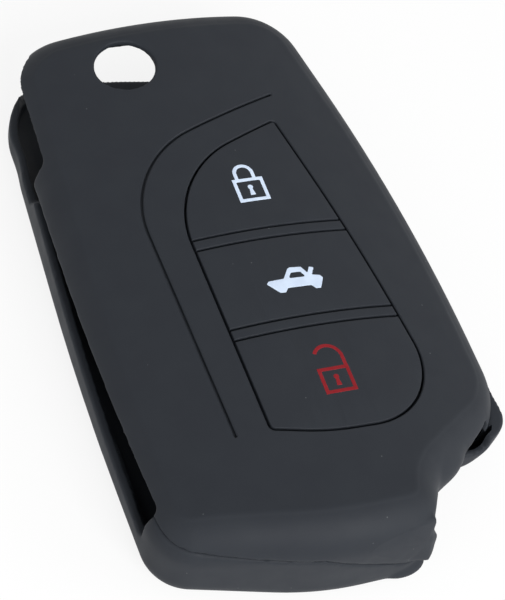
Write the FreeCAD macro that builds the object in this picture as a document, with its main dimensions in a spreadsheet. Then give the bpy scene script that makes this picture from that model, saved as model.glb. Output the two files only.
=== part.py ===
"""Soft silicone cover for a folding car key, lying on its back.

Millimetres. +Z is up through the button face, +Y runs towards the end with the release hole,
and the origin lies under the middle of the plan, on the surface that the cover rests on.
"""
import FreeCAD, Part
import Sketcher
import math
import os

SIZES = {
    # Sleeve as a whole
    "sleeve_length": 80.5,
    "sleeve_width": 48.4,
    "sleeve_thickness": 15.2,
    "wall": 1.8,
    "crown_radius": 70.0,
    "front_edge_round": 5.0,
    "rear_edge_round": 3.6,
    "corner_ease": 0.4,
    "cut_overrun": 3.0,
    # Plan outline, from the blade side round to the plain side
    "left_top_inset": 2.25,
    "top_left_round": 8.6,
    "rear_top_left_round": 11.8,
    "left_bow_drop": 8.25,
    "left_bow_share": 0.54,
    "left_end_inset": 0.7,
    "end_left_rise": 5.4,
    "end_left_round": 6.0,
    "end_flat_place": 4.5,
    "end_bow_round": 40.0,
    "foot_place": 8.8,
    "notch_place": 10.6,
    "notch_rise": 6.0,
    "notch_round": 2.6,
    "rear_notch_rise": 12.1,
    "ring_corner_rise": 14.8,
    "ring_corner_round": 11.0,
    "rear_ring_rise": 11.9,
    "rear_ring_round": 4.4,
    "right_inset": 0.3,
    "right_bow_up": 5.25,
    "right_bow_share": 0.7,
    "right_top_inset": 7.5,
    "top_right_round": 8.5,
    # Seam between the front and rear shells
    "seam_height": 7.9,
    "end_seam_height": 10.0,
    "foot_seam_height": 4.4,
    "seam_fall_place": 5.5,
    "seam_rise_run": 1.9,
    "seam_round": 1.5,
    # Mouth along the blade side
    "slot_end_drop": 29.55,
    "side_mouth_reach": 6.0,
    "lip_end_height": 5.1,
    "lip_step_height": 7.1,
    "lip_step_place": 17.65,
    "lip_window_height": 5.2,
    "skirt_end_height": 10.6,
    "skirt_step_height": 8.6,
    "skirt_step_place": 19.15,
    "skirt_window_height": 11.1,
    "step_run": 1.3,
    "mouth_round": 0.8,
    # Mouth across the end with the release hole
    "end_mouth_reach": 7.0,
    "end_mouth_left": 19.5,
    "end_mouth_slope": 4.0,
    "end_mouth_right": 8.0,
    "end_mouth_height": 9.8,
    "tongue_start_left": 8.7,
    "tongue_slope_drop": 2.7,
    # Mouth for the key ring at the cut-off corner
    "ring_mouth_start": 3.2,
    "ring_mouth_length": 6.2,
    "ring_mouth_low": 5.6,
    "ring_mouth_high": 10.2,
    "ring_mouth_reach": 4.0,
    "ring_lip_width": 1.0,
    "ring_lip_drop": 1.6,
    # Hole over the release button
    "hole_left": 7.8,
    "hole_inset": 8.85,
    "hole_radius": 3.9,
    "hole_land": 1.0,
    "hole_relief_width": 1.6,
    # Button panel, drawn along the middle of its groove
    "groove_width": 0.25,
    "panel_apex_right": 8.4,
    "panel_apex_up": 19.35,
    "panel_apex_round": 0.5,
    "panel_left": 8.5,
    "panel_shoulder_up": 12.75,
    "panel_shoulder_round": 14.5,
    "panel_heel_left": 7.7,
    "panel_heel_drop": 24.25,
    "panel_heel_round": 0.8,
    "panel_sag_left": 1.2,
    "panel_sag_dip": 2.0,
    "panel_sag_round": 24.0,
    "panel_toe_right": 15.4,
    "panel_toe_dip": 2.3,
    "panel_toe_round": 9.5,
    "panel_bow_place_share": 0.43,
    "panel_bow_out": 1.04,
    "panel_bow_share": 0.45,
    "upper_bar_up": 2.18,
    "lower_bar_drop": 11.15,
    "bar_width": 1.3,
    "web_thickness": 0.5,
    "nub_radius": 3.0,
    "nub_height": 0.8,
    # Trim line round the panel
    "trim_depth": 0.5,
    "trim_start_right": 9.55,
    "trim_start_up": 23.65,
    "trim_left": 13.2,
    "trim_shoulder_up": 15.95,
    "trim_round": 14.0,
    "trim_end_left": 11.8,
    "trim_end_drop": 23.95,
    # Ink signs
    "ink_depth": 0.3,
    "sign_stroke": 0.5,
    "lock_right": 1.54,
    "lock_place_share": 0.364,
    "lock_width": 4.1,
    "lock_height": 3.6,
    "lock_shackle_radius": 1.15,
    "lock_shackle_shift": 0.18,
    "lock_shackle_leg": 0.8,
    "unlock_right": 2.27,
    "unlock_place_share": 0.45,
    "unlock_shackle_radius": 1.75,
    "unlock_shackle_leg": 1.2,
    "unlock_shackle_sweep_degrees": 152.0,
    "keyhole_radius": 0.36,
    "keyhole_rise": 0.4,
    "keyhole_drop": 0.85,
    "keyhole_waist": 0.36,
    "keyhole_skirt": 0.72,
    "car_right": 2.2,
    "car_place_share": 0.445,
    "car_length": 7.4,
    "car_height": 3.55,
    "car_round": 0.14,
}

# Outline of the car sign, as shares of its length and height from its middle.
CAR_BODY_SHARES = [
    (-0.500, -0.030), (-0.450, 0.070), (-0.180, 0.085), (-0.055, 0.450), (-0.010, 0.500),
    (0.190, 0.460), (0.285, 0.110), (0.460, 0.030), (0.500, -0.090), (0.390, -0.500),
    (0.300, -0.490), (0.240, -0.340), (-0.170, -0.320), (-0.235, -0.480), (-0.330, -0.460),
]
CAR_WINDOW_SHARES = [(-0.090, 0.070), (-0.020, 0.270), (0.145, 0.260), (0.200, 0.050)]
CAR_LID_SHARES = [(0.225, 0.060), (0.330, 0.430), (0.410, 0.370), (0.310, 0.030)]

HALF_LENGTH = "sizes.sleeve_length / 2"
HALF_WIDTH = "sizes.sleeve_width / 2"
HALF_GROOVE = "sizes.groove_width / 2"
HALF_BAR = "sizes.bar_width / 2"
OVERRUN = "sizes.cut_overrun"

doc = FreeCAD.newDocument("key_fob_cover")
sheet = doc.addObject("Spreadsheet::Sheet", "sizes")
for row, (alias, size) in enumerate(SIZES.items(), start=1):
    sheet.set(f"A{row}", alias)
    sheet.set(f"B{row}", str(size))
    sheet.setAlias(f"B{row}", alias)
doc.recompute()


def bind(obj, **expressions):
    """Tie properties to expressions of the sheet; a double underscore stands for a dot."""
    for name, expression in expressions.items():
        obj.setExpression(name.replace("__", "."), expression)
    return obj


def value(obj, expression):
    return float(obj.evalExpression(expression))


def place(obj, right="0", up="0", height="0"):
    return bind(obj, Placement__Base__x=right, Placement__Base__y=up, Placement__Base__z=height)


# Sketched outlines

def draw_run(sketch, corners, closed=True):
    """Straight runs through corners (right, up, round), each round a tangent arc, None for sharp."""
    count = len(corners)
    points = [FreeCAD.Vector(value(sketch, right), value(sketch, up)) for right, up, _ in corners]
    ends = []
    for index, (point, (_, _, bend)) in enumerate(zip(points, corners)):
        if bend is None:
            ends.append((point, point, None))
            continue
        back = (points[index - 1] - point).normalize()
        ahead = (points[(index + 1) % count] - point).normalize()
        half = back.getAngle(ahead) / 2
        radius = value(sketch, bend)
        centre = point + (back + ahead).normalize() * (radius / math.sin(half))
        reach = radius / math.tan(half)
        turns_left = back.cross(ahead).z < 0
        ends.append((point + back * reach, point + ahead * reach, (centre, radius, turns_left)))

    runs = []
    for index in range(count if closed else count - 1):
        leaving = ends[index][1]
        arriving = ends[(index + 1) % count][0]
        runs.append(sketch.addGeometry(Part.LineSegment(leaving, arriving)))

    for index, (right, up, bend) in enumerate(corners):
        mark = sketch.addGeometry(Part.Point(points[index]), True)
        fix(sketch, Sketcher.Constraint("DistanceX", -1, 1, mark, 1, points[index].x), right)
        fix(sketch, Sketcher.Constraint("DistanceY", -1, 1, mark, 1, points[index].y), up)
        before = runs[index - 1] if closed or index > 0 else None
        after = runs[index] if index < len(runs) else None
        if bend is None:
            if before is not None:
                sketch.addConstraint(Sketcher.Constraint("Coincident", before, 2, mark, 1))
            if after is not None:
                sketch.addConstraint(Sketcher.Constraint("Coincident", after, 1, mark, 1))
            continue
        arriving, leaving, (centre, radius, turns_left) = ends[index]
        first, last = (arriving, leaving) if turns_left else (leaving, arriving)
        start = math.atan2(first.y - centre.y, first.x - centre.x)
        stop = math.atan2(last.y - centre.y, last.x - centre.x)
        circle = Part.Circle(centre, FreeCAD.Vector(0, 0, 1), radius)
        arc = sketch.addGeometry(Part.ArcOfCircle(circle, start, stop))
        entry, leave = (1, 2) if turns_left else (2, 1)
        sketch.addConstraint(Sketcher.Constraint("Tangent", before, 2, arc, entry))
        sketch.addConstraint(Sketcher.Constraint("Tangent", arc, leave, after, 1))
        sketch.addConstraint(Sketcher.Constraint("PointOnObject", mark, 1, before))
        sketch.addConstraint(Sketcher.Constraint("PointOnObject", mark, 1, after))
        fix(sketch, Sketcher.Constraint("Radius", arc, radius), bend)


def fix(sketch, constraint, expression):
    index = sketch.addConstraint(constraint)
    sketch.setExpression(f"Constraints[{index}]", expression)


def body_sketch(body, name, role, shift="0"):
    """Sketch on one of the body's own origin planes, shifted along that plane's normal."""
    sketch = body.newObject("Sketcher::SketchObject", name)
    plane = next(feature for feature in body.Origin.OriginFeatures if feature.Role == role)
    sketch.AttachmentSupport = [(plane, "")]
    sketch.MapMode = "FlatFace"
    return bind(sketch, AttachmentOffset__Base__z=shift)


def padded(body, name, role, corners, length, shift="0"):
    sketch = body_sketch(body, f"{name}_sketch", role, shift)
    draw_run(sketch, corners)
    pad = body.newObject("PartDesign::Pad", f"{name}_pad")
    pad.Profile = sketch
    bind(pad, Length=length)
    doc.recompute()
    return pad


def prism_body(name, role, corners, length, shift="0"):
    body = doc.addObject("PartDesign::Body", name)
    padded(body, name, role, corners, length, shift)
    return body


def free_sketch(name, corners, height, closed=True):
    sketch = doc.addObject("Sketcher::SketchObject", name)
    draw_run(sketch, corners, closed)
    return place(sketch, height=height)


# Solids made from other solids

def inset(name, source, depth):
    """The source drawn in evenly all round."""
    skin = doc.addObject("Part::Offset", name)
    skin.Source = source
    skin.Mode = "Skin"
    skin.Join = "Arc"
    return bind(skin, Value=f"-({depth})")


def swell(name, sketch, distance, open_line=False):
    """A closed outline moved out by a distance, or an open line widened to both sides."""
    outline = doc.addObject("Part::Offset2D", name)
    outline.Source = sketch
    outline.Mode = "Pipe"
    outline.Join = "Arc"
    outline.Fill = open_line
    return bind(outline, Value=distance)


def upright(name, outline, length="sizes.sleeve_thickness"):
    prism = doc.addObject("Part::Extrusion", name)
    prism.Base = outline
    prism.DirMode = "Custom"
    prism.Dir = FreeCAD.Vector(0, 0, 1)
    prism.Solid = True
    prism.FaceMakerClass = "Part::FaceMakerBullseye"
    return bind(prism, LengthFwd=length)


def cut(name, base, tool):
    result = doc.addObject("Part::Cut", name)
    result.Base = base
    result.Tool = tool
    return result


def common(name, *shapes):
    result = doc.addObject("Part::MultiCommon", name)
    result.Shapes = list(shapes)
    return result


def fuse(name, *shapes):
    result = doc.addObject("Part::MultiFuse", name)
    result.Shapes = list(shapes)
    return result


def block(name, length, width, height, right="0", up="0", base="0"):
    box = doc.addObject("Part::Box", name)
    return place(bind(box, Length=length, Width=width, Height=height), right, up, base)


def post(name, radius, height, right="0", up="0", base="0", sweep="360"):
    cylinder = doc.addObject("Part::Cylinder", name)
    return place(bind(cylinder, Radius=radius, Height=height, Angle=sweep), right, up, base)


# Outer forms of the two shells

upper_run = f"({HALF_LENGTH} + sizes.left_bow_drop)"
lower_run = f"({HALF_LENGTH} - sizes.end_left_rise - sizes.left_bow_drop)"
bow_turn = f"(atan(sizes.left_top_inset / {upper_run}) + atan(sizes.left_end_inset / {lower_run}))"
bow_round = f"sizes.left_bow_share * {lower_run} / tan({bow_turn} / 2)"

low_end = f"-({HALF_LENGTH})"
plain_side = f"({HALF_WIDTH} - sizes.right_inset)"
right_run = f"({HALF_LENGTH} + sizes.right_bow_up - sizes.ring_corner_rise)"
right_turn = f"atan((sizes.right_top_inset - sizes.right_inset) / ({HALF_LENGTH} - sizes.right_bow_up))"
right_bow_round = f"sizes.right_bow_share * {right_run} / tan({right_turn} / 2)"


def sleeve_outline(top_left_round, notch_rise, ring_side, ring_rise, ring_round):
    """Plan outline; both long sides bow gently over a share of their lower runs."""
    foot_lean = "(sizes.notch_place - sizes.foot_place) / sizes.notch_rise"
    return [
        (f"-({HALF_WIDTH}) + sizes.left_top_inset", HALF_LENGTH, top_left_round),
        (f"-({HALF_WIDTH})", "-sizes.left_bow_drop", bow_round),
        (f"-({HALF_WIDTH}) + sizes.left_end_inset", f"{low_end} + sizes.end_left_rise",
         "sizes.end_left_round"),
        ("-sizes.end_flat_place", low_end, "sizes.end_bow_round"),
        ("sizes.foot_place", low_end, "sizes.front_edge_round + sizes.corner_ease"),
        (f"sizes.foot_place + {foot_lean} * {notch_rise}", f"{low_end} + {notch_rise}",
         "sizes.notch_round"),
        (ring_side, f"{low_end} + {ring_rise}", ring_round),
        (plain_side, "sizes.right_bow_up", right_bow_round),
        (f"{HALF_WIDTH} - sizes.right_top_inset", HALF_LENGTH, "sizes.top_right_round"),
    ]


def round_off(body, feature, name, radius, pick):
    """Round the edges of the face whose centre is highest (pick=max) or lowest (pick=min)."""
    faces = feature.Shape.Faces
    chosen = pick(range(len(faces)), key=lambda index: faces[index].CenterOfMass.z)
    fillet = body.newObject("PartDesign::Fillet", name)
    fillet.Base = (feature, [f"Face{chosen + 1}"])
    bind(fillet, Radius=radius)
    doc.recompute()


def crown(body):
    """Plane away everything above an arch across the width."""
    sketch = body_sketch(body, "crown_sketch", "XZ_Plane")
    reach = value(sketch, f"{HALF_WIDTH} + {OVERRUN}")
    radius = value(sketch, "sizes.crown_radius")
    top = value(sketch, "sizes.sleeve_thickness")
    ceiling = value(sketch, f"sizes.sleeve_thickness + {OVERRUN}")
    centre = FreeCAD.Vector(0, top - radius, 0)
    spread = math.asin(reach / radius)
    arch = Part.ArcOfCircle(
        Part.Circle(centre, FreeCAD.Vector(0, 0, 1), radius),
        math.pi / 2 - spread,
        math.pi / 2 + spread,
    )
    spring = centre.y + radius * math.cos(spread)
    rim = [(-reach, spring), (-reach, ceiling), (reach, ceiling), (reach, spring)]
    corners = [FreeCAD.Vector(right, up, 0) for right, up in rim]
    arc = sketch.addGeometry(arch)
    sides = [sketch.addGeometry(Part.LineSegment(a, b)) for a, b in zip(corners, corners[1:])]
    left, roof, right = sides
    for joint in [(arc, 2, left, 1), (left, 2, roof, 1), (roof, 2, right, 1), (right, 2, arc, 1)]:
        sketch.addConstraint(Sketcher.Constraint("Coincident", *joint))
    for side in (left, right):
        sketch.addConstraint(Sketcher.Constraint("Vertical", side))
    sketch.addConstraint(Sketcher.Constraint("Horizontal", roof))
    sketch.addConstraint(Sketcher.Constraint("PointOnObject", arc, 3, -2))
    fix(sketch, Sketcher.Constraint("Radius", arc, radius), "sizes.crown_radius")
    fix(sketch, Sketcher.Constraint("DistanceY", -1, 1, arc, 3, centre.y),
        "sizes.sleeve_thickness - sizes.crown_radius")
    fix(sketch, Sketcher.Constraint("DistanceX", -1, 1, left, 1, -reach), f"-({HALF_WIDTH} + {OVERRUN})")
    fix(sketch, Sketcher.Constraint("DistanceX", -1, 1, right, 1, reach), f"{HALF_WIDTH} + {OVERRUN}")
    fix(sketch, Sketcher.Constraint("DistanceY", -1, 1, left, 2, ceiling),
        f"sizes.sleeve_thickness + {OVERRUN}")
    pocket = body.newObject("PartDesign::Pocket", "crown_pocket")
    pocket.Profile = sketch
    pocket.Type = "ThroughAll"
    pocket.SideType = "Symmetric"
    doc.recompute()
    return pocket


front_form = doc.addObject("PartDesign::Body", "front_form")
front_block = padded(
    front_form, "front_form", "XY_Plane",
    sleeve_outline("sizes.top_left_round", "sizes.notch_rise", plain_side, "sizes.ring_corner_rise",
                   "sizes.ring_corner_round"),
    "sizes.sleeve_thickness",
)
front_crown = crown(front_form)
assert front_crown.Shape.Volume < front_block.Shape.Volume
round_off(front_form, front_crown, "front_edge_fillet", "sizes.front_edge_round", max)

rear_form = doc.addObject("PartDesign::Body", "rear_form")
rear_block = padded(
    rear_form, "rear_form", "XY_Plane",
    sleeve_outline("sizes.rear_top_left_round", "sizes.rear_notch_rise", HALF_WIDTH,
                   "sizes.rear_ring_rise", "sizes.rear_ring_round"),
    "sizes.sleeve_thickness",
)
round_off(rear_form, rear_block, "rear_edge_fillet", "sizes.rear_edge_round", min)

front_cavity = inset("front_cavity", front_form, "sizes.wall")
rear_cavity = inset("rear_cavity", rear_form, "sizes.wall")
front_wall = cut("front_wall", front_form, front_cavity)
rear_wall = cut("rear_wall", rear_form, rear_cavity)

# Space of the rear shell, up to the seam: over the closed end, and along the rest of the sleeve

far_left = f"-({HALF_WIDTH} + {OVERRUN})"
far_right = f"{HALF_WIDTH} + {OVERRUN}"
floor_level = f"-{OVERRUN}"
end_seam = [
    (far_left, floor_level, None),
    (far_right, floor_level, None),
    (far_right, "sizes.seam_height", None),
    ("sizes.notch_place", "sizes.seam_height", "sizes.seam_round"),
    ("sizes.notch_place - sizes.seam_rise_run", "sizes.foot_seam_height", "sizes.seam_round"),
    ("-sizes.seam_fall_place", "sizes.end_seam_height", "sizes.seam_round"),
    (far_left, "sizes.end_seam_height", None),
]
main_seam = [
    (far_left, floor_level, None),
    (far_right, floor_level, None),
    (far_right, "sizes.seam_height", None),
    (far_left, "sizes.seam_height", None),
]
end_space = prism_body(
    "end_space", "XZ_Plane", end_seam,
    f"{HALF_LENGTH} + {OVERRUN} - sizes.slot_end_drop",
    "sizes.slot_end_drop",
)
main_space = prism_body(
    "main_space", "XZ_Plane", main_seam,
    f"{HALF_LENGTH} + {OVERRUN} + sizes.slot_end_drop",
    f"-({HALF_LENGTH} + {OVERRUN})",
)


def end_part(name, front_source, rear_source):
    """What the front and the rear forms have in common below the seam of the closed end."""
    return common(name, common(f"{name}_front", front_source, end_space), rear_source)


rear_end = cut("rear_end", end_part("end_form", front_form, rear_form),
               end_part("end_cavity", front_cavity, rear_cavity))

# Mouths, hole and groove

side_mouth = prism_body(
    "side_mouth", "YZ_Plane",
    [
        ("-sizes.slot_end_drop", "sizes.lip_end_height", "sizes.mouth_round"),
        ("sizes.lip_step_place", "sizes.lip_step_height", "sizes.mouth_round"),
        ("sizes.lip_step_place + sizes.step_run", "sizes.lip_window_height", "sizes.mouth_round"),
        (f"{HALF_LENGTH} + {OVERRUN}", "sizes.lip_window_height", None),
        (f"{HALF_LENGTH} + {OVERRUN}", "sizes.skirt_window_height", None),
        ("sizes.skirt_step_place + sizes.step_run", "sizes.skirt_window_height", "sizes.mouth_round"),
        ("sizes.skirt_step_place", "sizes.skirt_step_height", "sizes.mouth_round"),
        ("-sizes.slot_end_drop", "sizes.skirt_end_height", "sizes.mouth_round"),
    ],
    f"{OVERRUN} + sizes.side_mouth_reach",
    f"-({HALF_WIDTH} + {OVERRUN})",
)

end_mouth = prism_body(
    "end_mouth", "XZ_Plane",
    [
        ("-sizes.end_mouth_left", "sizes.lip_window_height", None),
        ("-sizes.end_mouth_left + sizes.end_mouth_slope", "sizes.wall", "sizes.mouth_round"),
        ("sizes.end_mouth_right", "sizes.wall", "sizes.mouth_round"),
        ("sizes.end_mouth_right", "sizes.end_mouth_height", "sizes.mouth_round"),
        ("-sizes.end_mouth_left", "sizes.end_mouth_height", None),
    ],
    f"{OVERRUN} + sizes.end_mouth_reach",
    f"-({HALF_LENGTH} + {OVERRUN})",
)

tongue_trim = prism_body(
    "tongue_trim", "XY_Plane",
    [
        ("-sizes.tongue_start_left", f"{HALF_LENGTH} + {OVERRUN}", None),
        ("-sizes.tongue_start_left", HALF_LENGTH, None),
        ("sizes.end_mouth_right", f"{HALF_LENGTH} - sizes.tongue_slope_drop", None),
        ("sizes.end_mouth_right", f"{HALF_LENGTH} + {OVERRUN}", None),
    ],
    "sizes.end_mouth_height",
)

ring_slant = f"atan2(sizes.notch_rise - sizes.ring_corner_rise; sizes.notch_place - {plain_side})"


def ring_block(name, low, height):
    """Block across the wall of the cut-off corner, along the ring mouth."""
    along = "sizes.ring_mouth_start"
    across = "sizes.ring_mouth_reach"
    box = block(
        name, "sizes.ring_mouth_length", f"2 * {across}", height,
        f"{plain_side} + cos({ring_slant}) * {along} + sin({ring_slant}) * {across}",
        f"sizes.ring_corner_rise - {HALF_LENGTH} + sin({ring_slant}) * {along}"
        f" - cos({ring_slant}) * {across}",
        low,
    )
    box.Placement.Rotation.Axis = FreeCAD.Vector(0, 0, 1)
    return bind(box, Placement__Rotation__Angle=ring_slant)


ring_mouth = ring_block("ring_mouth", "sizes.ring_mouth_low",
                        "sizes.ring_mouth_high - sizes.ring_mouth_low")
ring_thinning = common(
    "ring_thinning",
    inset("ring_bed", rear_form, "sizes.ring_lip_width"),
    ring_block("ring_relief", "sizes.ring_mouth_low - sizes.ring_lip_drop",
               "sizes.ring_lip_drop + sizes.wall"),
)

hole_up = f"{HALF_LENGTH} - sizes.hole_inset"
release_hole = post("release_hole", "sizes.hole_radius", "sizes.sleeve_thickness",
                    "-sizes.hole_left", hole_up, "sizes.seam_height")
hole_thinning = common(
    "hole_thinning",
    inset("hole_bed", front_form, "sizes.hole_land"),
    post("hole_relief", "sizes.hole_radius + sizes.hole_relief_width", "sizes.sleeve_thickness",
         "-sizes.hole_left", hole_up, "sizes.seam_height"),
)

trim_line = free_sketch(
    "trim_line",
    [
        ("sizes.trim_start_right", "sizes.trim_start_up", None),
        ("-sizes.trim_left", "sizes.trim_shoulder_up", "sizes.trim_round"),
        ("-sizes.trim_end_left", "-sizes.trim_end_drop", None),
    ],
    "sizes.seam_height",
    closed=False,
)
trim_band = upright("trim_band", swell("trim_outline", trim_line, HALF_GROOVE, open_line=True))
trim_skin = cut("trim_skin", front_form, inset("trim_bed", front_form, "sizes.trim_depth"))
trim_groove = common("trim_groove", trim_skin, trim_band)

# Button panel: the window in the front shell, and the pads and bars that fill it

panel_sag = "-sizes.panel_heel_drop - sizes.panel_sag_dip"
panel_toe = "-sizes.panel_heel_drop - sizes.panel_toe_dip"
panel_bow_right = ("(sizes.panel_apex_right + sizes.panel_bow_out + sizes.panel_bow_place_share"
                   " * (sizes.panel_toe_right - sizes.panel_apex_right))")
panel_bow_up = f"(sizes.panel_apex_up + sizes.panel_bow_place_share * ({panel_toe} - sizes.panel_apex_up))"
panel_bow_run = f"({panel_bow_up} - ({panel_toe}))"
panel_bow_turn = (f"(atan(({panel_bow_right} - sizes.panel_apex_right)"
                  f" / (sizes.panel_apex_up - {panel_bow_up}))"
                  f" - atan((sizes.panel_toe_right - {panel_bow_right}) / {panel_bow_run}))")
panel_line = free_sketch(
    "panel_line",
    [
        ("sizes.panel_apex_right", "sizes.panel_apex_up", "sizes.panel_apex_round"),
        ("-sizes.panel_left", "sizes.panel_shoulder_up", "sizes.panel_shoulder_round"),
        ("-sizes.panel_heel_left", "-sizes.panel_heel_drop", "sizes.panel_heel_round"),
        ("-sizes.panel_sag_left", panel_sag, "sizes.panel_sag_round"),
        ("sizes.panel_toe_right", panel_toe, "sizes.panel_toe_round"),
        (panel_bow_right, panel_bow_up,
         f"sizes.panel_bow_share * {panel_bow_run} / tan({panel_bow_turn} / 2)"),
    ],
    "sizes.seam_height",
)
window = upright("panel_window", swell("window_outline", panel_line, HALF_GROOVE))
filling = upright("panel_filling", swell("filling_outline", panel_line, f"-{HALF_GROOVE}"))
front_half = cut("front_half", front_wall, fuse("rear_space", end_space, main_space))
web_skin = cut("web_skin", inset("web_bed", front_form, "sizes.wall - sizes.web_thickness"), front_cavity)


def band(name, low, high):
    """Slab across the whole width between two places along the length."""
    return block(name, f"2 * ({far_right})", f"({high}) - ({low})", "2 * sizes.sleeve_thickness",
                 far_left, low)


upper_bar_low = f"sizes.upper_bar_up - {HALF_BAR}"
upper_bar_high = f"sizes.upper_bar_up + {HALF_BAR}"
lower_bar_low = f"-sizes.lower_bar_drop - {HALF_BAR}"
lower_bar_high = f"-sizes.lower_bar_drop + {HALF_BAR}"
button_reaches = {
    "lock": (upper_bar_high, HALF_LENGTH, "sizes.groove_width", "0"),
    "trunk": (lower_bar_high, upper_bar_low, "sizes.groove_width", "sizes.groove_width"),
    "unlock": (f"-({HALF_LENGTH})", lower_bar_low, "0", "sizes.groove_width"),
}
bar_reaches = {
    "upper_spacer_bar": (upper_bar_low, upper_bar_high),
    "lower_spacer_bar": (lower_bar_low, lower_bar_high),
}


def part_way(low, high, share):
    """Place that lies a share of the way from low to high."""
    return f"({low} + {share} * ({high} - ({low})))"


sign_places = {
    "lock": ("sizes.lock_right",
             part_way(upper_bar_high, "sizes.panel_apex_up", "sizes.lock_place_share")),
    "trunk": ("sizes.car_right",
              part_way(lower_bar_high, upper_bar_low, "sizes.car_place_share")),
    "unlock": ("sizes.unlock_right",
               part_way(panel_sag, lower_bar_low, "sizes.unlock_place_share")),
}

# Ink signs

ink_skin = cut("ink_skin", front_form, inset("ink_bed", front_form, "sizes.ink_depth"))
sign_base = "sizes.seam_height"
sign_depth = "sizes.sleeve_thickness"


def stroke_frame(name, right, up):
    """Rectangular padlock body drawn as a stroke."""
    inner_width = "(sizes.lock_width - 2 * sizes.sign_stroke)"
    inner_height = "(sizes.lock_height - 2 * sizes.sign_stroke)"
    outer = block(f"{name}_outer", "sizes.lock_width", "sizes.lock_height", sign_depth,
                  f"{right} - sizes.lock_width / 2", f"{up} - sizes.lock_height / 2", sign_base)
    inner = block(f"{name}_inner", inner_width, inner_height, sign_depth,
                  f"{right} - {inner_width} / 2", f"{up} - {inner_height} / 2", sign_base)
    return cut(f"{name}_frame", outer, inner)


def stroke_arch(name, radius, right, up, sweep):
    """Shackle bow of a padlock, swept from the right-hand leg."""
    outer = post(f"{name}_bow_outer", f"{radius} + sizes.sign_stroke / 2", sign_depth,
                 right, up, sign_base, sweep)
    inner = post(f"{name}_bow_inner", f"{radius} - sizes.sign_stroke / 2", sign_depth,
                 right, up, sign_base)
    return cut(f"{name}_bow", outer, inner)


def stroke_leg(name, leg, right, up):
    """Upright shackle leg that runs down into the top stroke of the body."""
    return block(name, "sizes.sign_stroke", f"{leg} + sizes.sign_stroke / 2", sign_depth,
                 f"{right} - sizes.sign_stroke / 2", f"{up} - sizes.sign_stroke / 2", sign_base)


def keyhole(name, right, up):
    eye_up = f"{up} + sizes.keyhole_rise"
    foot_up = f"{up} - sizes.keyhole_drop"
    eye = post(f"{name}_eye", "sizes.keyhole_radius", sign_depth, right, eye_up, sign_base)
    skirt = free_sketch(
        f"{name}_skirt",
        [
            (f"{right} - sizes.keyhole_skirt / 2", foot_up, None),
            (f"{right} + sizes.keyhole_skirt / 2", foot_up, None),
            (f"{right} + sizes.keyhole_waist / 2", eye_up, None),
            (f"{right} - sizes.keyhole_waist / 2", eye_up, None),
        ],
        sign_base,
    )
    return fuse(f"{name}_shape", eye, upright(f"{name}_skirt_prism", skirt, sign_depth))


def lock_outline():
    right, up = sign_places["lock"]
    middle = f"{right} - sizes.lock_shackle_shift"
    top = f"{up} + sizes.lock_height / 2"
    spring = f"{top} + sizes.lock_shackle_leg"
    radius = "sizes.lock_shackle_radius"
    legs = [stroke_leg(f"lock_leg_{side}", "sizes.lock_shackle_leg", f"{middle} {sign} {radius}", top)
            for side, sign in (("left", "-"), ("right", "+"))]
    bow = stroke_arch("lock", radius, middle, spring, "180")
    return fuse("lock_outline_shape", stroke_frame("lock", right, up), bow, *legs)


def unlock_outline():
    right, up = sign_places["unlock"]
    top = f"{up} + sizes.lock_height / 2"
    spring = f"{top} + sizes.unlock_shackle_leg"
    radius = "sizes.unlock_shackle_radius"
    leg = stroke_leg("unlock_leg", "sizes.unlock_shackle_leg", f"{right} + {radius}", top)
    bow = stroke_arch("unlock", radius, right, spring, "sizes.unlock_shackle_sweep_degrees")
    return fuse("unlock_outline_shape", stroke_frame("unlock", right, up), bow, leg)


def car_point(shares):
    right, up = sign_places["trunk"]
    along, above = shares
    return f"{right} + {along} * sizes.car_length", f"{up} + {above} * sizes.car_height"


def car_prism(name, point_shares, bend):
    corners = [(*car_point(shares), bend) for shares in point_shares]
    return upright(name, free_sketch(f"{name}_sketch", corners, sign_base), sign_depth)


def car():
    """Side view of a saloon with its boot lid standing open."""
    body = car_prism("car_body", CAR_BODY_SHARES, "sizes.car_round")
    glass = car_prism("car_window", CAR_WINDOW_SHARES, "sizes.car_round")
    lid = car_prism("car_lid", CAR_LID_SHARES, "sizes.car_round")
    return fuse("car_shape", cut("car_glazed", body, glass), lid)


signs = {
    "lock": {
        "lock_icon_outline": lock_outline(),
        "lock_icon_keyhole": keyhole("lock_keyhole", *sign_places["lock"]),
    },
    "trunk": {"trunk_icon": car()},
    "unlock": {
        "unlock_icon_outline": unlock_outline(),
        "unlock_icon_keyhole": keyhole("unlock_keyhole", *sign_places["unlock"]),
    },
}

# Finished pieces

pieces = []

window_cuts = fuse("front_cuts", window, side_mouth, end_mouth, ring_mouth, release_hole, hole_thinning,
                   trim_groove)
pieces.append(cut("front_shell", front_half, window_cuts))

rear_half = fuse("rear_half", rear_end, common("rear_main", rear_wall, main_space))
rear_cuts = fuse("rear_cuts", side_mouth, end_mouth, ring_mouth, ring_thinning, tongue_trim)
pieces.append(cut("rear_shell", rear_half, rear_cuts))

for name, (low, high) in bar_reaches.items():
    slab = band(f"{name}_band", low, high)
    bar = common(f"{name}_full", front_half, filling, slab)
    tabs = common(f"{name}_tabs", web_skin, window, slab)
    pieces.append(fuse(name, bar, tabs))

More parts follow.
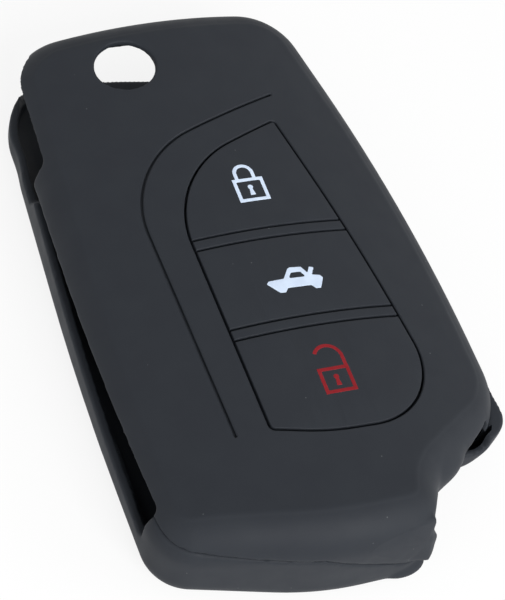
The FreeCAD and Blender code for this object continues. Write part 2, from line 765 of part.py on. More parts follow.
for name, (low, high, low_gap, high_gap) in button_reaches.items():
    right, up = sign_places[name]
    pad_slab = band(f"{name}_pad_band", f"{low} + {low_gap}", f"{high} - {high_gap}")
    pad_prism = common(f"{name}_prism", filling, pad_slab)
    pad_top = common(f"{name}_top", front_half, pad_prism)
    nub = post(f"{name}_nub", "sizes.nub_radius", "sizes.nub_height + sizes.wall / 2", right, up,
               "sizes.sleeve_thickness - sizes.wall - sizes.nub_height")
    inks = [common(label, ink_skin, shape) for label, shape in signs[name].items()]
    pad = fuse(f"{name}_pad", pad_top, nub)
    pieces.append(cut(f"{name}_button", pad, fuse(f"{name}_inks", *inks) if len(inks) > 1 else inks[0]))
    pieces.extend(inks)
    web_slab = band(f"{name}_web_band", low, high)
    ring = cut(f"{name}_ring", common(f"{name}_opening", window, web_slab), pad_prism)
    pieces.append(common(f"{name}_button_web", web_skin, ring))

doc.recompute()

for obj in doc.Objects:
    assert not {"Invalid", "Error"} & set(obj.State), f"{obj.Name} failed: {obj.State}"
for piece in pieces:
    assert not piece.Shape.isNull() and piece.Shape.isValid(), f"{piece.Label} is not a valid solid"

os.makedirs("parts", exist_ok=True)
for piece in pieces:
    piece.Shape.exportStep(f"parts/{piece.Label}.step")
    box = piece.Shape.BoundBox
    print(f"{piece.Label}: {len(piece.Shape.Solids)} solid, {piece.Shape.Volume:.1f} mm3, "
          f"x {box.XMin:.2f}..{box.XMax:.2f}, y {box.YMin:.2f}..{box.YMax:.2f}, "
          f"z {box.ZMin:.2f}..{box.ZMax:.2f}")
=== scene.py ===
# %% [markdown]
# # A soft silicone cover for a folding car key
#
# The cover is one black silicone moulding: a crowned front with three press pads, a tray-shaped back,
# and open mouths for the blade, the release button and the key ring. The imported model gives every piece
# its true place and size. This lesson turns those plain solids into soft, rounded silicone and dresses
# them with procedural materials. All lengths are in metres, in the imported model's own frame.

import math

import bmesh
import bpy
from mathutils import Euler, Matrix, Vector
from mathutils.bvhtree import BVHTree


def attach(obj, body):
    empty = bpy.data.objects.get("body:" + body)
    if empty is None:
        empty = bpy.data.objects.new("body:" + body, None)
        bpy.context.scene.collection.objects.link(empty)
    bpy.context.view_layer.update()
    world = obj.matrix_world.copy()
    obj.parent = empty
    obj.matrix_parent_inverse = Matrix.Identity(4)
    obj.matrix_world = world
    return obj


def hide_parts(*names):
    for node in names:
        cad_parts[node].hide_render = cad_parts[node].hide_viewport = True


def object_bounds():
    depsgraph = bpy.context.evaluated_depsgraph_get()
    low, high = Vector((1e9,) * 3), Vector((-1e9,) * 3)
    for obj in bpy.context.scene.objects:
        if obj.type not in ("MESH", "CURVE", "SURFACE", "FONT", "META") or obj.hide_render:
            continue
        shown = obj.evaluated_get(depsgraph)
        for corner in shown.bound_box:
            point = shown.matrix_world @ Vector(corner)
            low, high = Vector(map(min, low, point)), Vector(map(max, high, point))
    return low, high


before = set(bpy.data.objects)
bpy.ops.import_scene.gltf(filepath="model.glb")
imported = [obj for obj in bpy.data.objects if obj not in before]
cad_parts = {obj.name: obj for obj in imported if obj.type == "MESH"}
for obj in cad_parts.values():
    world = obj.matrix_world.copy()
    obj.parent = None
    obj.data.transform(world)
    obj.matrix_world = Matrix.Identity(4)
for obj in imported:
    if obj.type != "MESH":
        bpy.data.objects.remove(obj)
cad_low, cad_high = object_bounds()
mm = 0.001
print("frame", [tuple(round(c / mm, 2) for c in corner) for corner in (cad_low, cad_high)], "mm")

# %% [markdown]
# ## Camera
#
# The viewpoint comes first, because it decides how much of every edge is seen. It could be nudged by eye,
# but a real lens is easier to reason about: a long lens, a direction, a roll and a distance. The roll is
# what makes the cover lie slanted across the picture.

# %% Place the camera
picture_height = 600
lens_pixels = 1976.0
sensor_size = 36.0
view_azimuth = math.radians(35.09)
view_elevation = math.radians(52.63)
view_roll = math.radians(19.29)
view_distance = 234.2 * mm
view_target = Vector((-3.97, -7.08, 15.2)) * mm
nearest_seen = 10 * mm


def rolled_view(azimuth, elevation, roll):
    """Camera axes that look from the blade side and the closed end down on the buttons."""
    back = Vector((
        -math.sin(azimuth) * math.cos(elevation),
        -math.cos(azimuth) * math.cos(elevation),
        math.sin(elevation),
    ))
    level = Vector((math.cos(azimuth), -math.sin(azimuth), 0))
    axes = Matrix((level, back.cross(level), back)).transposed()
    return axes @ Matrix.Rotation(roll, 3, "Z")


view_axes = rolled_view(view_azimuth, view_elevation, view_roll)
lens = bpy.data.cameras.new("studio_camera")
lens.sensor_fit = "VERTICAL"
lens.sensor_height = sensor_size
lens.lens = sensor_size * lens_pixels / picture_height
lens.clip_start = nearest_seen
camera = bpy.data.objects.new("studio_camera", lens)
camera.matrix_world = view_axes.to_4x4()
camera.location = view_target + view_axes @ Vector((0, 0, view_distance))
bpy.context.scene.collection.objects.link(camera)
bpy.context.scene.camera = camera
print("camera", round(lens.lens, 1), "mm lens at", tuple(round(c / mm) for c in camera.location), "mm")

# %% [markdown]
# ## Stage
#
# Matte black shows little but the light around it, so the stage matters as much as the object. A wide
# white floor and a white sky wrap it in an even glow, as in a light tent. A catalogue picture has a pure
# white ground. More light would get there too, but it would bleach the object, so the sky and the paper
# are only brighter for the rays that look straight at them.

# %% Build the stage
floor_half = 1500 * mm
floor_white = (0.94, 0.94, 0.94, 1)
paper_roughness = 0.9
paper_gloss = 0.1
paper_lift = 0.85
sky_white = (1, 1, 1, 1)
sky_light = 0.48
sky_seen = 1.0
bpy.context.scene.view_settings.view_transform = "Standard"


def as_piece(name, bm):
    """Turn an editable mesh into an object of the scene."""
    mesh = bpy.data.meshes.new(name)
    bm.to_mesh(mesh)
    bm.free()
    piece = bpy.data.objects.new(name, mesh)
    bpy.context.scene.collection.objects.link(piece)
    return piece


def new_shader(name):
    """New material, with its node tree and its main shader."""
    material = bpy.data.materials.new(name)
    material.use_nodes = True
    tree = material.node_tree
    return material, tree, tree.nodes["Principled BSDF"]


def looking_rays(tree):
    """1 for rays that come straight from the camera, off a gloss or through glass, 0 for the rest."""
    rays = tree.nodes.new("ShaderNodeLightPath")
    most = rays.outputs["Is Camera Ray"]
    for kind in ("Is Glossy Ray", "Is Transmission Ray"):
        either = tree.nodes.new("ShaderNodeMath")
        either.operation = "MAXIMUM"
        tree.links.new(most, either.inputs[0])
        tree.links.new(rays.outputs[kind], either.inputs[1])
        most = either.outputs[0]
    return most


def ranged(tree, value, low, high, start=0.0, stop=1.0):
    """Stretch a value from start..stop to low..high."""
    node = tree.nodes.new("ShaderNodeMapRange")
    tree.links.new(value, node.inputs["Value"])
    for socket, number in zip(("From Min", "From Max", "To Min", "To Max"), (start, stop, low, high)):
        node.inputs[socket].default_value = number
    return node.outputs["Result"]


floor_plan = bmesh.new()
bmesh.ops.create_grid(floor_plan, x_segments=1, y_segments=1, size=floor_half)
floor = as_piece("floor", floor_plan)
paper, paper_tree, paper_shader = new_shader("white_paper")
paper_shader.inputs["Base Color"].default_value = floor_white
paper_shader.inputs["Roughness"].default_value = paper_roughness
paper_shader.inputs["Specular IOR Level"].default_value = paper_gloss
glow = paper_tree.nodes.new("ShaderNodeEmission")
lifted = paper_tree.nodes.new("ShaderNodeMixShader")
lift = ranged(paper_tree, looking_rays(paper_tree), 0, paper_lift)
paper_surface = paper_tree.nodes["Material Output"].inputs["Surface"]
paper_tree.links.new(lift, lifted.inputs["Fac"])
paper_tree.links.new(paper_shader.outputs["BSDF"], lifted.inputs[1])
paper_tree.links.new(glow.outputs["Emission"], lifted.inputs[2])
paper_tree.links.new(lifted.outputs["Shader"], paper_surface)
floor.data.materials.append(paper)

world = bpy.data.worlds.new("light_tent")
bpy.context.scene.world = world
world.use_nodes = True
sky_tree = world.node_tree
sky = sky_tree.nodes["Background"]
sky.inputs["Color"].default_value = sky_white
sky_strength = ranged(sky_tree, looking_rays(sky_tree), sky_light, sky_seen)
sky_tree.links.new(sky_strength, sky.inputs["Strength"])
print("floor", 2 * floor_half, "m wide, sky", sky_light)

# %% [markdown]
# ## Lamps
#
# A softbox over a product leaves a gentle slope of tone from one side to the other. A small lamp would
# leave hard glints on the silicone, and the sky alone would leave it flat. So three large soft lamps are
# hung: a strong one before the closed end, and two weaker ones that fill the sides.

# %% Hang the lamps
lamp_size = 420 * mm
lamps = {
    "key_lamp": ((60, -620, 420), 4.8),
    "fill_lamp": ((560, -260, 380), 1.1),
    "side_lamp": ((-560, -200, 260), 0.6),
}


def soft_lamp(name, place, power):
    """Large square lamp at a place, turned to the middle of the cover."""
    light = bpy.data.lights.new(name, "AREA")
    light.energy = power
    light.size = lamp_size
    lamp = bpy.data.objects.new(name, light)
    lamp.location = place
    lamp.rotation_euler = (-lamp.location).to_track_quat("-Z", "Y").to_euler()
    bpy.context.scene.collection.objects.link(lamp)


for lamp_name, (lamp_place, lamp_power) in lamps.items():
    soft_lamp(lamp_name, Vector(lamp_place) * mm, lamp_power)
print("lamps", list(lamps))

# %% [markdown]
# ## Uneven surfaces
#
# No moulded or printed surface has quite the same colour and gloss all over. An image could hold the
# changes, but noise nodes in the object's own space need no unwrapping and stay sharp at any distance.
# The scales of the noise below count its waves per metre.

# %% Noise, tones and grain
noise_middle = (0.3, 0.7)
mottle_detail = 3.0
grain_detail = 2.0
grain_strength = 1.0


def object_space(tree):
    """Place on the object, from one shared node."""
    place = tree.nodes.get("Texture Coordinate") or tree.nodes.new("ShaderNodeTexCoord")
    return place.outputs["Object"]


def noise(tree, scale, detail):
    texture = tree.nodes.new("ShaderNodeTexNoise")
    texture.inputs["Scale"].default_value = scale
    texture.inputs["Detail"].default_value = detail
    tree.links.new(object_space(tree), texture.inputs["Vector"])
    return texture.outputs["Fac"]


def mottle(tree, scale, low, high):
    """Noise whose middle is stretched to low..high."""
    return ranged(tree, noise(tree, scale, mottle_detail), low, high, *noise_middle)


def tone(tree, factor, dark, light):
    """Mix of a dark and a light colour."""
    mix = tree.nodes.new("ShaderNodeMix")
    mix.data_type = "RGBA"
    tree.links.new(factor, mix.inputs["Factor"])
    mix.inputs["A"].default_value = (*dark, 1)
    mix.inputs["B"].default_value = (*light, 1)
    return mix


def grain(tree, shader, scale, height):
    """Fine bumps all over a surface."""
    bump = tree.nodes.new("ShaderNodeBump")
    bump.inputs["Strength"].default_value = grain_strength
    bump.inputs["Distance"].default_value = height
    tree.links.new(noise(tree, scale, grain_detail), bump.inputs["Height"])
    tree.links.new(bump.outputs["Normal"], shader.inputs["Normal"])


print("noise between", noise_middle, "is stretched")

# %% [markdown]
# ## Silicone
#
# Moulded silicone is a deep grey-black with a fine spark-eroded grain, and it picks up lint. Lint could be
# strewn as tiny pieces, but these would be far more faces than so small a thing is worth. So it is a cell
# pattern in the material, in which only a few cells carry a speck.

# %% Make the silicone
silicone_dark = (0.0205, 0.0235, 0.0295)
silicone_light = (0.0225, 0.0260, 0.0320)
silicone_mottle = 250.0
silicone_patch = 400.0
silicone_roughness = (0.52, 0.60)
silicone_ior = 1.41
silicone_gloss = 0.2
silicone_grain = 9000.0
silicone_grain_height = 0.006 * mm
lint_tone = (0.10, 0.105, 0.11)
lint_cell = 2.0 * mm
lint_speck = 0.16 * mm
lint_edge = (0.4, 0.6)
lint_choice = (0.74, 0.76)


def lint(tree):
    """1 inside a few small specks, 0 elsewhere; one cell in four carries a speck."""
    cells = tree.nodes.new("ShaderNodeTexVoronoi")
    cells.inputs["Scale"].default_value = 1 / lint_cell
    tree.links.new(object_space(tree), cells.inputs["Vector"])
    edge = [share * lint_speck / lint_cell for share in lint_edge]
    near = ranged(tree, cells.outputs["Distance"], 1, 0, *edge)
    pick = tree.nodes.new("ShaderNodeSeparateColor")
    tree.links.new(cells.outputs["Color"], pick.inputs["Color"])
    chosen = ranged(tree, pick.outputs["Red"], 0, 1, *lint_choice)
    both = tree.nodes.new("ShaderNodeMath")
    both.operation = "MULTIPLY"
    tree.links.new(near, both.inputs[0])
    tree.links.new(chosen, both.inputs[1])
    return both.outputs[0]


def silicone(name):
    material, tree, shader = new_shader(name)
    body = tone(tree, mottle(tree, silicone_mottle, 0, 1), silicone_dark, silicone_light)
    dusted = tone(tree, lint(tree), silicone_dark, lint_tone)
    tree.links.new(body.outputs["Result"], dusted.inputs["A"])
    tree.links.new(dusted.outputs["Result"], shader.inputs["Base Color"])
    tree.links.new(mottle(tree, silicone_patch, *silicone_roughness), shader.inputs["Roughness"])
    shader.inputs["IOR"].default_value = silicone_ior
    shader.inputs["Specular IOR Level"].default_value = silicone_gloss
    grain(tree, shader, silicone_grain, silicone_grain_height)
    return material


finishes = {"black_silicone": silicone("moulded_silicone")}
print("finishes", list(finishes))

# %% [markdown]
# ## Ink
#
# The signs are printed in a thin, matte ink, in a pale blue-white and a dark red. A flat colour would do
# from afar, but close up ink lies a little unevenly, so it gets the same kind of mottle and grain, only
# finer.

# %% Make the inks
white_tones = ((0.60, 0.70, 0.86), (0.68, 0.79, 0.95))
red_tones = ((0.20, 0.006, 0.010), (0.25, 0.010, 0.016))
ink_mottle = 700.0
ink_patch = 1500.0
ink_roughness = (0.45, 0.65)
ink_gloss = 0.2
ink_grain = 6000.0
ink_grain_height = 0.01 * mm


def ink(name, dark, light):
    material, tree, shader = new_shader(name)
    body = tone(tree, mottle(tree, ink_mottle, 0, 1), dark, light)
    tree.links.new(body.outputs["Result"], shader.inputs["Base Color"])
    tree.links.new(mottle(tree, ink_patch, *ink_roughness), shader.inputs["Roughness"])
    shader.inputs["Specular IOR Level"].default_value = ink_gloss
    grain(tree, shader, ink_grain, ink_grain_height)
    return material


finishes["white_ink"] = ink("white_print", *white_tones)
finishes["red_ink"] = ink("red_print", *red_tones)
print("finishes", list(finishes))

# %% [markdown]
# ## Reading outlines from the solids
#
# The pads and the window they sit in share the crown of the front. Tracing them again by hand would drift
# from the real sizes, so the sharp upper rim of each solid is walked edge by edge and kept as a closed
# outline in plan. The crown itself is an arch across the width, the same for every piece.

# %% Outlines and the crown
crown_radius = 70 * mm
weld_gap = 0.002 * mm
sharp_turn = math.radians(40)
least_top_rise = 0.8
most_side_rise = 0.3
fewest_corners = 4


def crown(x):
    """Height of the arched front at a place across its width."""
    return cad_high.z - crown_radius + math.sqrt(crown_radius**2 - x**2)


def welded(*nodes):
    """Copies of solids in one editable mesh, with their split corners joined."""
    bm = bmesh.new()
    for node in nodes:
        bm.from_mesh(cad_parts[node].data)
    bmesh.ops.remove_doubles(bm, verts=bm.verts, dist=weld_gap)
    bm.normal_update()
    return bm


def extent(loop):
    """Size of an outline's box."""
    across, along = zip(*loop)
    return Vector((max(across) - min(across), max(along) - min(along)))


def loop_area(loop):
    return sum(a.x * b.y - b.x * a.y for a, b in zip(loop, loop[1:] + loop[:1])) / 2


def turned_left(loop):
    return loop if loop_area(loop) > 0 else loop[::-1]


def is_upper_rim(edge):
    """True for a sharp edge between a level top and an upright side."""
    if len(edge.link_faces) != 2 or not edge.is_convex:
        return False
    side, top = sorted(face.normal.z for face in edge.link_faces)
    return top > least_top_rise and abs(side) < most_side_rise and edge.calc_face_angle() > sharp_turn


def upper_rims(node):
    """Closed outlines, in plan, of a solid's upper side, the widest first."""
    bm = welded(node)
    links = {}
    for edge in filter(is_upper_rim, bm.edges):
        a, b = edge.verts
        links.setdefault(a.index, []).append(b.index)
        links.setdefault(b.index, []).append(a.index)
    bm.verts.ensure_lookup_table()
    loops = []
    while links:
        here = next(iter(links))
        walk = []
        while here in links:
            nexts = links.pop(here)
            walk.append(bm.verts[here].co.xy.copy())
            here = next((n for n in nexts if n in links), None)
        loops.append(walk)
    bm.free()
    loops = [turned_left(loop) for loop in loops if len(loop) >= fewest_corners]
    return sorted(loops, key=lambda loop: -extent(loop).length)


front_rims = upper_rims("front_shell")
print("front rims", [tuple(round(c / mm, 1) for c in extent(loop)) for loop in front_rims], "mm")

# %% [markdown]
# ## Soft skins and cuts
#
# Silicone has no knife edges. A bevel would need clean edge loops, which a solid from a modeller rarely
# has. So a shell is turned into voxels, which forgets its edges, and is smoothed a little, which rounds
# them. Voxels lie on a grid, and an edge that nearly follows the grid comes out in long steps, so a piece
# is turned to an odd angle first and turned back afterwards. Fine grooves would drown in all that, so they
# are cut later with Booleans.

# %% Voxels and Booleans
odd_angles = (0.5, 0.35, 0.6)
odd_turn = Euler(odd_angles).to_matrix().to_4x4()
settle_factor = 0.5


def apply_modifiers(piece):
    graph = bpy.context.evaluated_depsgraph_get()
    piece.data = bpy.data.meshes.new_from_object(piece.evaluated_get(graph))
    piece.modifiers.clear()


def soften(piece, voxel, passes):
    """Rebuild a piece from voxels and let its points settle between their neighbours."""
    piece.data.transform(odd_turn)
    voxels = piece.modifiers.new("voxels", "REMESH")
    voxels.mode = "VOXEL"
    voxels.voxel_size = voxel
    smooth = piece.modifiers.new("settle", "SMOOTH")
    smooth.factor = settle_factor
    smooth.iterations = passes
    apply_modifiers(piece)
    piece.data.transform(odd_turn.inverted())


def combine(piece, tool, operation):
    """Cut a tool out of a piece, or join it on, and throw the tool away."""
    boolean = piece.modifiers.new("combine", "BOOLEAN")
    boolean.operation = operation
    boolean.solver = "MANIFOLD"
    boolean.object = tool
    apply_modifiers(piece)
    bpy.data.objects.remove(tool)


print("voxels are turned by", [round(math.degrees(angle)) for angle in odd_angles], "degrees")

# %% [markdown]
# ## Prisms that follow the crown
#
# Grooves, plugs and pads have an outline in plan and follow the crown in height. They could be wrapped
# onto the front with a Shrinkwrap modifier, but that lets upright sides lean. A prism that is built flat,
# sliced into narrow strips and then lifted to the crown keeps its sides upright.

# %% Bend a prism to the crown
bend_step = 0.5 * mm
mitre_limit = 0.5


def moved_out(loop, distance):
    """Outline moved out by a distance, with mitred corners."""
    moved = []
    for before, here, after in zip(loop[-1:] + loop[:-1], loop, loop[1:] + loop[:1]):
        arriving, leaving = (here - before).normalized(), (after - here).normalized()
        normals = [Vector((run.y, -run.x)) for run in (arriving, leaving)]
        middle = (normals[0] + normals[1]).normalized()
        moved.append(here + middle * distance / max(middle.dot(normals[0]), mitre_limit))
    return moved


def bent_prism(name, loop, rings):
    """Prism over an outline, from rings (outset, height over the crown), bent to the crown."""
    bm = bmesh.new()
    levels = []
    for outset, height in rings:
        levels.append([bm.verts.new((*point, height)) for point in moved_out(loop, outset)])
    for low, high in zip(levels, levels[1:]):
        for index in range(len(loop)):
            bm.faces.new((low[index - 1], low[index], high[index], high[index - 1]))
    bm.faces.new(levels[0][::-1])
    bm.faces.new(levels[-1])
    bmesh.ops.triangulate(bm, faces=bm.faces)
    left, right = min(v.co.x for v in bm.verts), max(v.co.x for v in bm.verts)
    for step in range(1, math.ceil((right - left) / bend_step)):
        everything = bm.verts[:] + bm.edges[:] + bm.faces[:]
        strip_edge = (left + step * bend_step, 0, 0)
        bmesh.ops.bisect_plane(bm, geom=everything, plane_co=strip_edge, plane_no=(1, 0, 0))
    for vert in bm.verts:
        vert.co.z += crown(vert.co.x)
    bmesh.ops.recalc_face_normals(bm, faces=bm.faces)
    return as_piece(name, bm)


print("the crown falls by", round((cad_high.z - crown(cad_high.x)) / mm, 2), "mm to the sides")

# %% [markdown]
# ## Dressing a finished piece
#
# On the real cover every piece is silicone or ink, and it moves with the sleeve or with a pad. Each
# finished mesh needs the same last steps: a material, soft shading that stops at real corners, the body
# that it moves with, and hiding the solids that it stands for. Written out each time, one of them is soon
# forgotten, so one function does them all.

# %% Dress a piece
def dress(piece, slot, body, *nodes):
    """Give a finished piece its material, soft shading and its body, and hide the solids that it stands
    for.
    """
    piece.data.materials.clear()
    piece.data.materials.append(finishes[slot])
    piece.data.shade_smooth()
    piece.data.set_sharp_from_angle(angle=sharp_turn)
    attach(piece, body)
    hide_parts(*nodes)
    print(piece.name, len(piece.data.polygons), "faces on", body)


# %% [markdown]
# ## Front shell: one closed skin
#
# The crowned front carries the button window and a thin trim line. Both are first filled with plugs, so
# that the voxels see one closed skin. A plug need not be joined by a Boolean: voxels melt everything that
# overlaps into one. At the closed end the front runs out into a foot, and a small wedge fills the foot's
# tip. Voxels leave faint ripples on a nearly level skin, so the points that lie close to the crown are put
# back on it.

# %% Fill and soften the front shell
front_voxel = 0.18 * mm
front_passes = 26
wall = 1.8 * mm
plug_lap = 0.35 * mm
trim_depth = 0.5 * mm
crown_near = 0.03 * mm
crown_far = 0.15 * mm
foot_tip_corners = [
    (3.0, -40.2, 7.4), (8.8, -40.2, 4.7), (9.5, -39.4, 5.4), (9.5, -38.8, 8.5), (7.9, -38.9, 13.2),
    (4.7, -39.4, 13.2), (3.0, -37.0, 8.0), (8.6, -36.0, 7.0), (7.2, -36.0, 13.2), (4.0, -36.0, 13.6),
]


def wedge(name, corners):
    """Smallest solid round a few corners."""
    bm = bmesh.new()
    for corner in corners:
        bm.verts.new(Vector(corner) * mm)
    bmesh.ops.convex_hull(bm, input=bm.verts)
    return as_piece(name, bm)


def ramp(value, start, stop):
    """0 up to the start, 1 from the stop on, and even in between."""
    return min(max((value - start) / (stop - start), 0), 1)


def settle_on_crown(piece):
    """Put the points near the crown back on it, fading out where the skin leaves it."""
    for vert in piece.data.vertices:
        if abs(vert.co.x) > cad_high.x:
            continue
        off = vert.co.z - crown(vert.co.x)
        vert.co.z -= off * ramp(abs(off), crown_far, crown_near)


window_rim = max(front_rims, key=loop_area)
narrow_rims = [loop for loop in front_rims if loop is not window_rim]
trim_rim = max(narrow_rims, key=lambda loop: extent(loop).length)

front_solid = welded("front_shell")
fillings = [wedge("foot_tip", foot_tip_corners)]
for rim, depth in ((window_rim, wall), (trim_rim, 2 * trim_depth)):
    fillings.append(bent_prism("plug", rim, [(plug_lap, -depth), (plug_lap, 0)]))
for filling in fillings:
    front_solid.from_mesh(filling.data)
    bpy.data.objects.remove(filling)
front = as_piece("soft_front", front_solid)
soften(front, front_voxel, front_passes)
settle_on_crown(front)
print("front skin", len(front.data.vertices), "points")

# %% [markdown]
# ## Front shell: foot, window and trim line
#
# The soft skin is now shaped like clay. Soft presses draw in the neck of the foot and fill out the corner
# beside it, which a sculpting brush could do as well, but not twice the same way. A big slanting block
# planes the flat facet at the foot's tip. The window and the trim line come back as crisp, narrow grooves.
# Their rims are flared by a hair, because moulded silicone never leaves the tool with a perfect corner.

# %% Press and carve the front shell
front_presses = [
    ((9.0, -37.3, 10.4), 2.8, (-0.6, 0.35, 0)),
    ((14.0, -32.2, 10.6), 3.5, (0.25, -0.4, 0)),
]
foot_facet_points = [(2.0, -40.25, 9.0), (8.8, -40.25, 4.4), (7.6, -39.0, 13.4)]
facet_block = 30 * mm
lip_flare = 0.12 * mm
lip_depth = 0.12 * mm
groove_ease = 0.03 * mm
clear_height = 1.0 * mm


def press(piece, place, reach, push):
    """Push the skin softly round a place, most in the middle and not at all beyond its reach."""
    middle, most = Vector(place) * mm, Vector(push) * mm
    for vert in piece.data.vertices:
        share = max(1 - (vert.co - middle).length_squared / (reach * mm)**2, 0)
        vert.co += most * share**2


def slanting_block(name, points, side):
    """Cube that stands on the outer side of the plane through three points."""
    a, b, c = (Vector(point) * mm for point in points)
    outward = (b - a).cross(c - a).normalized()
    bm = bmesh.new()
    bmesh.ops.create_cube(bm, size=side)
    turn = outward.to_track_quat("Z", "Y").to_matrix().to_4x4()
    middle = (a + b + c) / 3 + outward * side / 2
    bmesh.ops.transform(bm, matrix=Matrix.Translation(middle) @ turn, verts=bm.verts)
    return as_piece(name, bm)


def groove_rings(depth):
    """Upright cut, eased by a hair, with a flared lip that runs out over the crown."""
    flared = groove_ease + lip_flare
    return [(groove_ease, -depth), (groove_ease, -lip_depth), (flared, 0), (flared, clear_height)]


for place, reach, push in front_presses:
    press(front, place, reach, push)
combine(front, slanting_block("foot_facet", foot_facet_points, facet_block), "DIFFERENCE")
combine(front, bent_prism("window_cutter", window_rim, groove_rings(2 * wall)), "DIFFERENCE")
combine(front, bent_prism("trim_cutter", trim_rim, groove_rings(trim_depth)), "DIFFERENCE")
dress(front, "black_silicone", "sleeve", "front_shell")

# %% [markdown]
# ## Rear shell: the tray
#
# The back is a plain tray with a thin lip. It could be drawn anew with rounded corners, but it has no fine
# grooves, so voxels and a few smoothing passes are all that it needs to lose its machined look. A small
# round toe fills the corner under the foot's tip. Soft presses shape the key ring corner and the side next
# to the root of the blade.

# %% Soften and press the rear shell
rear_voxel = 0.25 * mm
rear_passes = 8
toe_middle = (6.0, -38.6, 3.0)
toe_radii = (3.3, 2.0, 1.5)
toe_roundness = 4
rear_presses = [
    ((24.0, -25.2, 7.0), 3.5, (0.4, -0.15, 0)),
    ((23.9, -21.8, 7.0), 3.0, (0.2, 0, 0)),
    ((21.8, -27.5, 2.0), 3.2, (-0.3, 0.5, 0)),
    ((-23.2, 26.4, 4.5), 4.0, (0.3, 0, 0)),
]

rear_solid = welded("rear_shell")
toe_shape = Matrix.LocRotScale(Vector(toe_middle) * mm, None, Vector(toe_radii) * mm)
bmesh.ops.create_icosphere(rear_solid, subdivisions=toe_roundness, radius=1, matrix=toe_shape)
rear = as_piece("soft_rear", rear_solid)
soften(rear, rear_voxel, rear_passes)
for place, reach, push in rear_presses:
    press(rear, place, reach, push)
print("rear skin", len(rear.data.vertices), "points")

# %% [markdown]
# ## Rear shell: thin rims
#
# Along the blade slot the wall runs out into a narrow rim, and the slot is dark right up to it. A cutter
# would leave a step where this wall bends round the corner, so each point of the wall is drawn towards
# the nearest place on the outer skin instead. The mouth at the key ring corner is dark because the hollow
# behind its rim is deep. The smoothing would have closed that hollow, so it is only carved now.

# %% Thin the rims of the rear shell
slot_wall = 2.2 * mm
slot_thinning = 0.42
slot_rise = (2.0 * mm, 3.2 * mm)
slot_start = (-29.5 * mm, -28.0 * mm)
slot_end = (-15.0 * mm, -17.0 * mm)
slot_inside = Vector((-10, 10, 0)) * mm
skin_facing = 0.5
ring_hollow_plan = [
    (19.6, -25.7), (22.4, -26.0), (22.0, -26.7), (20.9, -27.3), (19.8, -27.6), (18.6, -27.6), (17.8, -26.6),
]
ring_hollow_heights = (3.0, 9.0)


def outer_skin(piece):
    """Search tree of the faces that look away from the inside of the tray."""
    points = [vert.co.copy() for vert in piece.data.vertices]
    skin = []
    for face in piece.data.polygons:
        outwards = (face.center - slot_inside).to_2d().normalized()
        if face.normal.to_2d().dot(outwards) > skin_facing:
            skin.append(tuple(face.vertices))
    return BVHTree.FromPolygons(points, skin)


def thin_slot_wall(piece):
    """Draw the wall along the blade slot towards its own outer face, above the floor of the tray."""
    skin = outer_skin(piece)
    for vert in piece.data.vertices:
        along = ramp(vert.co.y, *slot_start) * ramp(vert.co.x, *slot_end)
        share = slot_thinning * along * ramp(vert.co.z, *slot_rise)
        if share > 0:
            near, _, _, gap = skin.find_nearest(vert.co)
            if gap < slot_wall:
                vert.co.xy += (near - vert.co).xy * share


thin_slot_wall(rear)
ring_hollow = [(x, y, z) for z in ring_hollow_heights for x, y in ring_hollow_plan]
combine(rear, wedge("ring_hollow", ring_hollow), "DIFFERENCE")
dress(rear, "black_silicone", "sleeve", "rear_shell")

# %% [markdown]
# ## Pads and bars
#
# A pad is a slab that follows the crown, with a tiny round along its upper rim and a nub underneath that
# reaches for the key's own button. The bars between the pads are slabs of the same kind. Voxels would blur
# such small rounds, so these slabs are bent prisms, and the round is a few rings of the prism.

# %% Model the pads and the bars
rim_round = 0.12 * mm
rim_steps = 4
nub_radius = 3.0 * mm
nub_height = 0.8 * mm
nub_lap = wall / 2
nub_sides = 64
facing_down = -0.5
pads = {"lock_button": "lock_pad", "trunk_button": "trunk_pad", "unlock_button": "unlock_pad"}
bars = ("upper_spacer_bar", "lower_spacer_bar")


def slab_rings(thickness, round_radius, steps):
    """Upright side, then a quarter round up to the crown."""
    turns = [math.pi / 2 * step / steps for step in range(steps + 1)]
    rounded = [(round_radius * (math.cos(t) - 1), round_radius * (math.sin(t) - 1)) for t in turns]
    return [(-groove_ease, -thickness)] + [(outset - groove_ease, height) for outset, height in rounded]


def nub_middle(node):
    """Middle of the level underside of the nub on a pad's solid."""
    underside = cad_high.z - wall - nub_height
    level = []
    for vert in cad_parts[node].data.vertices:
        if abs(vert.co.z - underside) < weld_gap and vert.normal.z < facing_down:
            level.append(vert.co.xy)
    return Vector([(min(places) + max(places)) / 2 for places in zip(*level)])


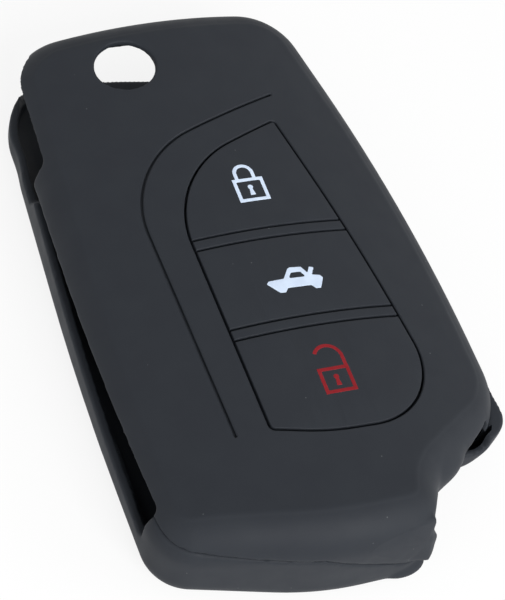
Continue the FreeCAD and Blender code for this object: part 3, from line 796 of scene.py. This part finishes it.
def nub(name, middle, top):
    """Round stud that hangs from a height."""
    length = nub_height + nub_lap
    ends = {"radius1": nub_radius, "radius2": nub_radius}
    bm = bmesh.new()
    bmesh.ops.create_cone(bm, cap_ends=True, segments=nub_sides, depth=length, **ends)
    bmesh.ops.translate(bm, verts=bm.verts, vec=(*middle, top - length / 2))
    return as_piece(name, bm)


slab = slab_rings(wall, rim_round, rim_steps)
for node, body in pads.items():
    pad = bent_prism(f"soft_{node}", upper_rims(node)[0], slab)
    combine(pad, nub(f"{node}_nub", nub_middle(node), cad_high.z - nub_lap), "UNION")
    dress(pad, "black_silicone", body, node)
for node in bars:
    bar = bent_prism(f"soft_{node}", upper_rims(node)[0], slab)
    dress(bar, "black_silicone", "sleeve", node)

# %% [markdown]
# ## Webs
#
# Each pad hangs in a thin web, the floor of the groove round it. It gives way when the pad is pressed. The
# solid could stay as it is, so deep in the groove, but a few very small voxels make it as soft as the rest.

# %% Model the webs
web_voxel = 0.07 * mm
web_passes = 2

for node in pads:
    web = as_piece(f"soft_{node}_web", welded(f"{node}_web"))
    soften(web, web_voxel, web_passes)
    dress(web, "black_silicone", "sleeve", f"{node}_web")

# %% [markdown]
# ## Signs
#
# The signs are pressed into the pads as thin wafers of ink. Their drawn corners are a little too perfect
# for print, so each one is rebuilt from very small voxels and relaxed, and it stands a hair proud of the
# pad, as a layer of ink does. A decal would be quicker, but it would vanish at a flat angle.

# %% Model the signs
sign_voxel = 0.05 * mm
sign_passes = 3
sign_stand = 0.02 * mm
signs = {
    "lock_icon_outline": ("lock_pad", "white_ink"),
    "lock_icon_keyhole": ("lock_pad", "white_ink"),
    "trunk_icon": ("trunk_pad", "white_ink"),
    "unlock_icon_outline": ("unlock_pad", "red_ink"),
    "unlock_icon_keyhole": ("unlock_pad", "red_ink"),
}

for node, (body, slot) in signs.items():
    wafer = welded(node)
    bmesh.ops.translate(wafer, verts=wafer.verts, vec=(0, 0, sign_stand))
    sign = as_piece(f"printed_{node}", wafer)
    soften(sign, sign_voxel, sign_passes)
    dress(sign, slot, body, node)
